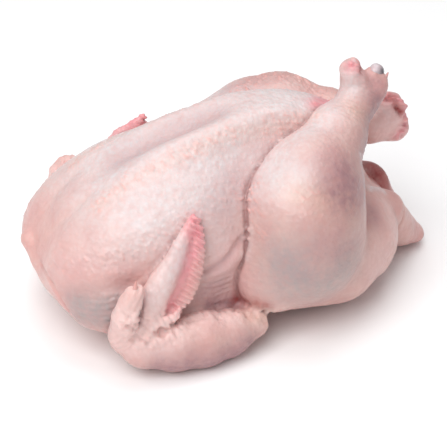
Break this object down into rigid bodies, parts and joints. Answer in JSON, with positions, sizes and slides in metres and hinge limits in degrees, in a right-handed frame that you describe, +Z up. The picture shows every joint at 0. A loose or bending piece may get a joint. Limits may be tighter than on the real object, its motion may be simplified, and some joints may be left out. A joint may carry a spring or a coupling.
{
  "type": "whole raw chicken",
  "caption": "Whole raw oven-ready chicken lying on its back, with folded wings, drawn-up legs and bare hock joints.",
  "frame": {"origin": "middle of the bounding box, on the surface that the bird lies on", "axes": "+X runs from the neck to the tail, +Y to the bird's left, +Z up, from the back to the breast"},
  "size_m": [0.2638, 0.1784, 0.143],
  "materials": {
    "skin": "moist raw poultry skin, pale pink, satin"
  },
  "bodies": {
    "root": {"whole_chicken": "skin"}
  },
  "joints": []
}
